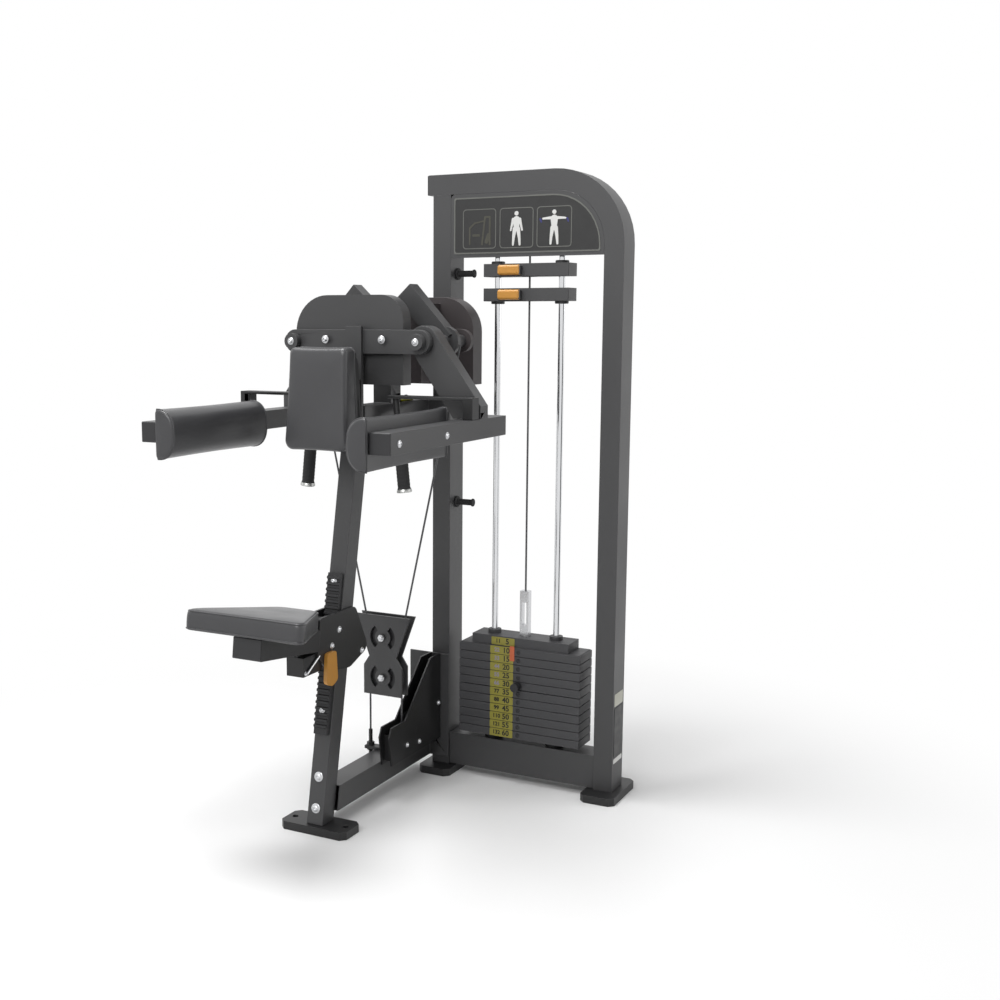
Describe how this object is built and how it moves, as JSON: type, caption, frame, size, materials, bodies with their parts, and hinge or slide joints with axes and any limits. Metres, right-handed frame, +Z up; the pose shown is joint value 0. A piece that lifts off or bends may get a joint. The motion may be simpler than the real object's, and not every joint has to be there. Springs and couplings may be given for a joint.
{
  "type": "lateral raise machine",
  "caption": "Seated lateral raise gym machine: weight stack tower, cable drive, pivoting padded arms with hand grips, chest pad and height-adjustable seat.",
  "frame": {"origin": "centre of the left tower foot, on the floor", "axes": "+Z up, +X along the tower to the user's right, +Y away from the seat, as the user faces"},
  "size_m": [0.882, 0.9127, 1.554],
  "materials": {
    "frame_paint": "satin charcoal powder coat",
    "black_paint": "satin black powder coat",
    "upholstery": "charcoal vinyl, fine grain",
    "grip_rubber": "matt black",
    "pulley_nylon": "moulded black nylon",
    "rail_plastic": "moulded black",
    "chrome": "polished",
    "cast_iron": "dark grey paint over casting",
    "orange_plastic": "satin orange",
    "cable": "steel wire in a black jacket",
    "bare_steel": "zinc plated"
  },
  "bodies": {
    "frame": {"arm_cable": "cable", "base_beam": "frame_paint", "base_cross_tube": "frame_paint", "cable_anchor": "bare_steel", "chest_pad": "upholstery", "chest_pad_board": "black_paint", "front_foot": "black_paint", "front_frame": "frame_paint", "front_hood": "black_paint", "gas_spring_body": "black_paint", "head_beam": "frame_paint", "info_panel": "black_paint", "left_bumper": "grip_rubber", "left_foot": "black_paint", "left_guide_rod": "chrome", "left_upright": "frame_paint", "lift_cable": "cable", "lower_peg": "grip_rubber", "pulley_housing": "black_paint", "rear_housing": "black_paint", "resting_plates": "cast_iron", "right_bumper": "grip_rubber", "right_foot": "black_paint", "right_guide_rod": "chrome", "seat_post": "frame_paint", "seat_rail": "rail_plastic", "stack_cable": "cable", "tower_arch": "frame_paint", "tower_cable": "cable", "upper_peg": "grip_rubber"},
    "right_arm": {"right_pivot_shaft": "black_paint", "right_arm": "frame_paint", "right_arm_pad": "upholstery", "right_handle": "black_paint"},
    "left_arm": {"left_pivot_shaft": "black_paint", "left_arm": "frame_paint", "left_arm_pad": "upholstery", "left_handle": "black_paint"},
    "yoke": {"pulley_yoke": "black_paint", "yoke_upper_pulley": "pulley_nylon"},
    "yoke_lower_wheel": {"yoke_lower_pulley": "pulley_nylon"},
    "base_front_wheel": {"base_front_pulley": "pulley_nylon"},
    "base_rear_wheel": {"base_rear_pulley": "pulley_nylon"},
    "top_left_wheel": {"top_left_pulley": "pulley_nylon"},
    "top_right_wheel": {"top_right_pulley": "pulley_nylon"},
    "lifted_stack": {"lifted_plate_1": "cast_iron", "lifted_plate_2": "cast_iron", "lifted_plate_3": "cast_iron", "lifted_plate_4": "cast_iron", "lifted_plate_5": "cast_iron", "head_plate": "cast_iron", "selector_rod": "bare_steel"},
    "pin": {"selector_pin": "pulley_nylon"},
    "upper_add_on": {"upper_add_on_weight": "black_paint"},
    "lower_add_on": {"lower_add_on_weight": "black_paint"},
    "seat": {"seat_pad": "upholstery", "seat_pan": "black_paint", "seat_carriage": "black_paint", "gas_spring_rod": "chrome"},
    "release_lever": {"seat_release_lever": "orange_plastic"}
  },
  "joints": [
    {"name": "right_arm_pivot", "type": "hinge", "parent": "frame", "child": "right_arm", "pos_m": [0.11, -0.226, 1.144], "axis": [0, -1, 0], "range_deg": [0, 90]},
    {"name": "left_arm_pivot", "type": "hinge", "parent": "frame", "child": "left_arm", "pos_m": [-0.23, -0.226, 1.144], "axis": [0, 1, 0], "range_deg": [0, 90]},
    {"name": "yoke_lift", "type": "slide", "parent": "frame", "child": "yoke", "axis": [0, 0, 1], "range_m": [0, 0.0612], "deforming": ["arm_cable", "lift_cable"]},
    {"name": "stack_lift", "type": "slide", "parent": "frame", "child": "lifted_stack", "axis": [0, 0, 1], "range_m": [0, 0.1223], "deforming": ["stack_cable"]},
    {"name": "yoke_lower_turn", "type": "hinge", "parent": "yoke", "child": "yoke_lower_wheel", "pos_m": [-0.06, -0.226, 0.297], "axis": [0, -1, 0], "range_deg": [0, 77]},
    {"name": "base_front_turn", "type": "hinge", "parent": "frame", "child": "base_front_wheel", "pos_m": [-0.014, -0.178, 0.15], "axis": [-1, 0, 0], "range_deg": [0, 147]},
    {"name": "base_rear_turn", "type": "hinge", "parent": "frame", "child": "base_rear_wheel", "pos_m": [-0.014, -0.053, 0.15], "axis": [-1, 0, 0], "range_deg": [0, 147]},
    {"name": "top_left_turn", "type": "hinge", "parent": "frame", "child": "top_left_wheel", "pos_m": [0.034, -0.005, 1.44], "axis": [0, -1, 0], "range_deg": [0, 147]},
    {"name": "top_right_turn", "type": "hinge", "parent": "frame", "child": "top_right_wheel", "pos_m": [0.18, -0.005, 1.44], "axis": [0, -1, 0], "range_deg": [0, 147]},
    {"name": "selector_pin_slide", "type": "slide", "parent": "lifted_stack", "child": "pin", "axis": [0, -1, 0], "range_m": [0, 0.06]},
    {"name": "upper_add_on_slide", "type": "slide", "parent": "frame", "child": "upper_add_on", "axis": [0, 0, -1], "range_m": [0, 0.0277]},
    {"name": "lower_add_on_slide", "type": "slide", "parent": "frame", "child": "lower_add_on", "axis": [0, 0, -1], "range_m": [0, 0.7]},
    {"name": "seat_height", "type": "slide", "parent": "frame", "child": "seat", "axis": [0, 0.1891, 0.982], "range_m": [-0.11, 0.09]},
    {"name": "seat_release", "type": "hinge", "parent": "seat", "child": "release_lever", "pos_m": [-0.026, -0.541, 0.428], "axis": [-1, 0, 0], "range_deg": [0, 20], "stiffness_Nm_per_rad": 0.5, "springref_deg": -5.73}
  ],
  "couplings": [
    {"joint": "left_arm_pivot", "follows": "right_arm_pivot", "ratio": 1},
    {"joint": "yoke_lift", "follows": "right_arm_pivot", "m_per_rad": 0.03891},
    {"joint": "stack_lift", "follows": "right_arm_pivot", "m_per_rad": 0.07782},
    {"joint": "yoke_lower_turn", "follows": "right_arm_pivot", "ratio": 0.8459},
    {"joint": "base_front_turn", "follows": "right_arm_pivot", "ratio": 1.6213},
    {"joint": "base_rear_turn", "follows": "right_arm_pivot", "ratio": 1.6213},
    {"joint": "top_left_turn", "follows": "right_arm_pivot", "ratio": 1.6213},
    {"joint": "top_right_turn", "follows": "right_arm_pivot", "ratio": 1.6213}
  ]
}
